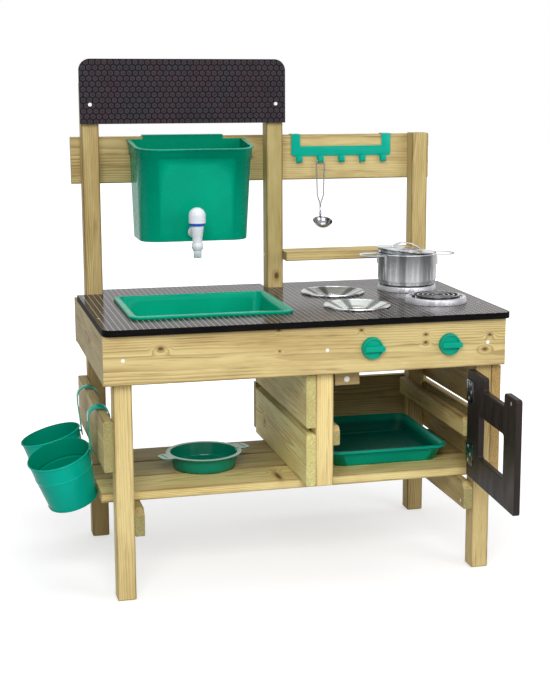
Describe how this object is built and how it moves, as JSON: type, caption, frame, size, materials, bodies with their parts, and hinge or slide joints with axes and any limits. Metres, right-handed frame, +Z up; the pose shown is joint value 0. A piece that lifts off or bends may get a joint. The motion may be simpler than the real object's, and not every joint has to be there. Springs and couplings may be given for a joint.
{
  "type": "mud kitchen",
  "caption": "Child's wooden mud kitchen with sink, water tank with tap, bowls, hotplates, knobs, oven with hinged door, hook rail, buckets, pot, pan and tray.",
  "frame": {"origin": "middle of the whole set's outline on the floor, with the door open and the buckets hung", "axes": "+X to the right along the worktop, +Y to the back, +Z up; the play side with the knobs faces -Y"},
  "size_m": [0.9929, 0.8005, 1.079],
  "materials": {
    "pine": "planed",
    "film_faced_plywood": "film faced",
    "honeycomb_plywood": "film faced",
    "door_plywood": "film faced",
    "green_plastic": "gloss",
    "green_enamel": "gloss",
    "stainless_steel": "polished",
    "black_spiral": "satin",
    "zinc_plated_steel": "zinc plated",
    "magnet": "matte",
    "white_plastic": "gloss",
    "blue_plastic": "gloss"
  },
  "bodies": {
    "kitchen": {"front_left_leg": "pine", "front_right_leg": "pine", "front_middle_post": "pine", "rear_left_post": "pine", "rear_middle_post": "pine", "rear_right_post": "pine", "front_apron": "pine", "left_side_apron": "pine", "right_side_apron": "pine", "rear_apron": "pine", "upper_rail": "pine", "bucket_rail": "pine", "left_shelf_bearer": "pine", "right_shelf_bearer": "pine", "front_shelf_board": "pine", "middle_shelf_board": "pine", "rear_shelf_board": "pine", "partition_lower_board": "pine", "partition_upper_board": "pine", "right_side_lower_board": "pine", "right_side_upper_board": "pine", "oven_rear_board": "pine", "left_tray_runner": "pine", "right_tray_runner": "pine", "catch_block": "pine", "mini_shelf": "pine", "worktop": "film_faced_plywood", "honeycomb_board": "honeycomb_plywood", "front_hotplate": "stainless_steel", "rear_hotplate": "stainless_steel", "hotplate_coils": "black_spiral", "door_magnet": "magnet", "hinge_leg_leaves": "zinc_plated_steel", "hinge_pins": "zinc_plated_steel", "frame_screws": "zinc_plated_steel"},
    "oven_door": {"door": "door_plywood", "hinge_door_leaves": "zinc_plated_steel", "door_screws": "zinc_plated_steel"},
    "left_knob": {"left_knob": "green_plastic", "left_knob_bolt": "zinc_plated_steel"},
    "right_knob": {"right_knob": "green_plastic", "right_knob_bolt": "zinc_plated_steel"},
    "sink": {"sink": "green_plastic"},
    "front_bowl": {"front_bowl": "stainless_steel"},
    "rear_bowl": {"rear_bowl": "stainless_steel"},
    "water_tank": {"tank": "green_plastic", "tap_body": "white_plastic", "tap_ring": "blue_plastic", "tap_nut": "white_plastic"},
    "tap_cap": {"tap_cap": "white_plastic"},
    "hook_strip": {"hook_strip": "green_enamel"},
    "ladle": {"ladle": "stainless_steel"},
    "front_bucket": {"front_bucket": "green_enamel", "front_bucket_hook": "green_enamel"},
    "rear_bucket": {"rear_bucket": "green_enamel", "rear_bucket_hook": "green_enamel"},
    "pot": {"pot": "stainless_steel"},
    "pot_lid": {"pot_lid": "stainless_steel"},
    "pan": {"pan": "green_plastic"},
    "tray": {"tray": "green_plastic"}
  },
  "joints": [
    {"name": "door_hinge", "type": "hinge", "parent": "kitchen", "child": "oven_door", "pos_m": [0.42572, -0.0944, 0.3315], "axis": [0, 0, 1], "range_deg": [-86.4, 90]},
    {"name": "left_knob_turn", "type": "hinge", "parent": "kitchen", "child": "left_knob", "pos_m": [0.19312, -0.1116, 0.5005], "axis": [0, -1, 0], "continuous": true},
    {"name": "right_knob_turn", "type": "hinge", "parent": "kitchen", "child": "right_knob", "pos_m": [0.36062, -0.1116, 0.5005], "axis": [0, -1, 0], "continuous": true},
    {"name": "sink_lift", "type": "slide", "parent": "kitchen", "child": "sink", "axis": [0, 0, 1], "range_m": [0, 0.11]},
    {"name": "front_bowl_lift", "type": "slide", "parent": "kitchen", "child": "front_bowl", "axis": [0, 0, 1], "range_m": [0, 0.08]},
    {"name": "rear_bowl_lift", "type": "slide", "parent": "kitchen", "child": "rear_bowl", "axis": [0, 0, 1], "range_m": [0, 0.07]},
    {"name": "tank_lift", "type": "slide", "parent": "kitchen", "child": "water_tank", "axis": [0, 0, 1], "range_m": [0, 0.03]},
    {"name": "tap_cap_turn", "type": "hinge", "parent": "water_tank", "child": "tap_cap", "pos_m": [-0.10538, 0.2064, 0.745], "axis": [0, 0, 1], "range_deg": [0, 90]},
    {"name": "hook_strip_lift", "type": "slide", "parent": "kitchen", "child": "hook_strip", "axis": [0, 0, 1], "range_m": [0, 0.04]},
    {"name": "ladle_swing", "type": "hinge", "parent": "hook_strip", "child": "ladle", "pos_m": [0.21442, 0.3634, 0.8487], "axis": [1, 0, 0], "range_deg": [-60, 5]},
    {"name": "front_bucket_lift", "type": "slide", "parent": "kitchen", "child": "front_bucket", "axis": [0, 0, 1], "range_m": [0, 0.06]},
    {"name": "rear_bucket_lift", "type": "slide", "parent": "kitchen", "child": "rear_bucket", "axis": [0, 0, 1], "range_m": [0, 0.06]},
    {"name": "pot_lift", "type": "slide", "parent": "kitchen", "child": "pot", "axis": [0, 0, 1], "range_m": [0, 0.12]},
    {"name": "lid_lift", "type": "slide", "parent": "pot", "child": "pot_lid", "axis": [0, 0, 1], "range_m": [0, 0.06]},
    {"name": "pan_slide", "type": "slide", "parent": "kitchen", "child": "pan", "axis": [0, -1, 0], "range_m": [0, 0.28]},
    {"name": "tray_slide", "type": "slide", "parent": "kitchen", "child": "tray", "axis": [-0.0628, -0.998, 0], "range_m": [0, 0.3]}
  ]
}
